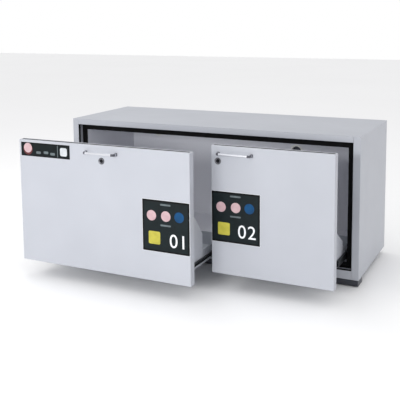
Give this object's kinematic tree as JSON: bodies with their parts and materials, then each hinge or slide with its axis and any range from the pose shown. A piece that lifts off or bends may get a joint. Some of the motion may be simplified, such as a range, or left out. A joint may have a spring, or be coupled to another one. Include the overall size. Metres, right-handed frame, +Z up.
{
  "type": "reagent drawer cabinet",
  "caption": "Low fire-resistant under-bench cabinet for reagent bottles, with a wide and a narrow full-height drawer on telescopic runners.",
  "frame": {"origin": "on the floor, under the centre of the casing's footprint", "axes": "+Z up, +X to the right of a user facing the drawers, +Y from the drawer fronts to the back; the drawers open towards -Y"},
  "size_m": [1.402, 0.998, 0.63],
  "materials": {
    "grey_paint": "light grey powder coat, satin",
    "zinc_sheet": "galvanised sheet",
    "fire_board": "bare insulating board",
    "grey_laminate": "grey melamine facing, satin",
    "black_seal": "black swelling seal strip",
    "black_paint": "black powder coat, satin",
    "black_plastic": "black moulded plastic",
    "white_plastic": "off-white moulded plastic",
    "zinc_steel": "bright zinc plate",
    "ball_steel": "steel balls in a pressed cage",
    "earth_brass": "turned brass",
    "handle_paint": "satin anodised",
    "lock_nickel": "nickel plate",
    "lock_dark": "dark turned steel",
    "tray_paint": "grey powder coat, satin",
    "label_film": "printed plastic film"
  },
  "bodies": {
    "casing": {"top_panel": "grey_paint", "left_side_panel": "grey_paint", "right_side_panel": "grey_paint", "bottom_panel": "grey_paint", "back_panel": "zinc_sheet", "top_board": "fire_board", "bottom_board": "fire_board", "left_board": "fire_board", "right_board": "fire_board", "back_board": "fire_board", "top_lining": "grey_laminate", "floor_lining": "grey_laminate", "left_lining": "grey_laminate", "right_lining": "grey_laminate", "back_lining": "grey_laminate", "opening_seal": "black_seal", "base_rails": "black_paint", "centre_bearer": "black_paint", "levelling_feet": "black_plastic", "air_ports": "white_plastic", "casing_screws": "zinc_steel", "earth_stud": "earth_brass", "centre_runner_support": "zinc_steel", "outer_rails": "zinc_steel", "lock_keepers": "zinc_steel"},
    "left_drawer": {"left_front_skin": "grey_paint", "left_front_core": "fire_board", "left_front_liner": "grey_paint", "left_front_seal": "black_seal", "left_handle": "handle_paint", "left_screws": "zinc_steel", "left_lock_barrel": "lock_nickel", "left_tray": "tray_paint", "left_brackets": "grey_paint", "left_inner_rails": "zinc_steel", "left_label_plate": "label_film", "badge_strip": "label_film"},
    "right_drawer": {"right_front_skin": "grey_paint", "right_front_core": "fire_board", "right_front_liner": "grey_paint", "right_front_seal": "black_seal", "right_handle": "handle_paint", "right_screws": "zinc_steel", "right_lock_barrel": "lock_nickel", "right_tray": "tray_paint", "right_brackets": "grey_paint", "right_inner_rails": "zinc_steel", "right_label_plate": "label_film"},
    "left_middle_rails": {"left_mid_rails": "zinc_steel"},
    "right_middle_rails": {"right_mid_rails": "zinc_steel"},
    "left_outer_ball_cages": {"left_outer_cages": "ball_steel"},
    "left_inner_ball_cages": {"left_inner_cages": "ball_steel"},
    "right_outer_ball_cages": {"right_outer_cages": "ball_steel"},
    "right_inner_ball_cages": {"right_inner_cages": "ball_steel"},
    "left_lock": {"left_lock_plug": "lock_dark", "left_lock_cam": "zinc_steel"},
    "right_lock": {"right_lock_plug": "lock_dark", "right_lock_cam": "zinc_steel"},
    "left_damper": {"left_damper_flap": "black_paint"},
    "right_damper": {"right_damper_flap": "black_paint"}
  },
  "joints": [
    {"name": "left_drawer_slide", "type": "slide", "parent": "casing", "child": "left_drawer", "axis": [0, -1, 0], "range_m": [-0.438, 0.012]},
    {"name": "right_drawer_slide", "type": "slide", "parent": "casing", "child": "right_drawer", "axis": [0, -1, 0], "range_m": [-0.251, 0.199]},
    {"name": "left_middle_rail_slide", "type": "slide", "parent": "casing", "child": "left_middle_rails", "axis": [0, -1, 0], "range_m": [-0.219, 0.006]},
    {"name": "right_middle_rail_slide", "type": "slide", "parent": "casing", "child": "right_middle_rails", "axis": [0, -1, 0], "range_m": [-0.1255, 0.0995]},
    {"name": "left_outer_cage_slide", "type": "slide", "parent": "casing", "child": "left_outer_ball_cages", "axis": [0, -1, 0], "range_m": [-0.1095, 0.003]},
    {"name": "left_inner_cage_slide", "type": "slide", "parent": "casing", "child": "left_inner_ball_cages", "axis": [0, -1, 0], "range_m": [-0.3285, 0.009]},
    {"name": "right_outer_cage_slide", "type": "slide", "parent": "casing", "child": "right_outer_ball_cages", "axis": [0, -1, 0], "range_m": [-0.06275, 0.04975]},
    {"name": "right_inner_cage_slide", "type": "slide", "parent": "casing", "child": "right_inner_ball_cages", "axis": [0, -1, 0], "range_m": [-0.18825, 0.14925]},
    {"name": "left_lock_turn", "type": "hinge", "parent": "left_drawer", "child": "left_lock", "pos_m": [-0.249, -0.689, 0.537], "axis": [0, -1, 0], "range_deg": [0, 90]},
    {"name": "right_lock_turn", "type": "hinge", "parent": "right_drawer", "child": "right_lock", "pos_m": [0.184, -0.502, 0.537], "axis": [0, -1, 0], "range_deg": [0, 90]},
    {"name": "left_damper_turn", "type": "hinge", "parent": "casing", "child": "left_damper", "pos_m": [-0.489, 0.2355, 0.52], "axis": [0, 0, 1], "range_deg": [0, 90]},
    {"name": "right_damper_turn", "type": "hinge", "parent": "casing", "child": "right_damper", "pos_m": [0.277, 0.2355, 0.46], "axis": [0, 0, 1], "range_deg": [0, 90]}
  ],
  "couplings": [
    {"joint": "left_middle_rail_slide", "follows": "left_drawer_slide", "ratio": 0.5},
    {"joint": "right_middle_rail_slide", "follows": "right_drawer_slide", "ratio": 0.5},
    {"joint": "left_outer_cage_slide", "follows": "left_drawer_slide", "ratio": 0.25},
    {"joint": "left_inner_cage_slide", "follows": "left_drawer_slide", "ratio": 0.75},
    {"joint": "right_outer_cage_slide", "follows": "right_drawer_slide", "ratio": 0.25},
    {"joint": "right_inner_cage_slide", "follows": "right_drawer_slide", "ratio": 0.75}
  ]
}
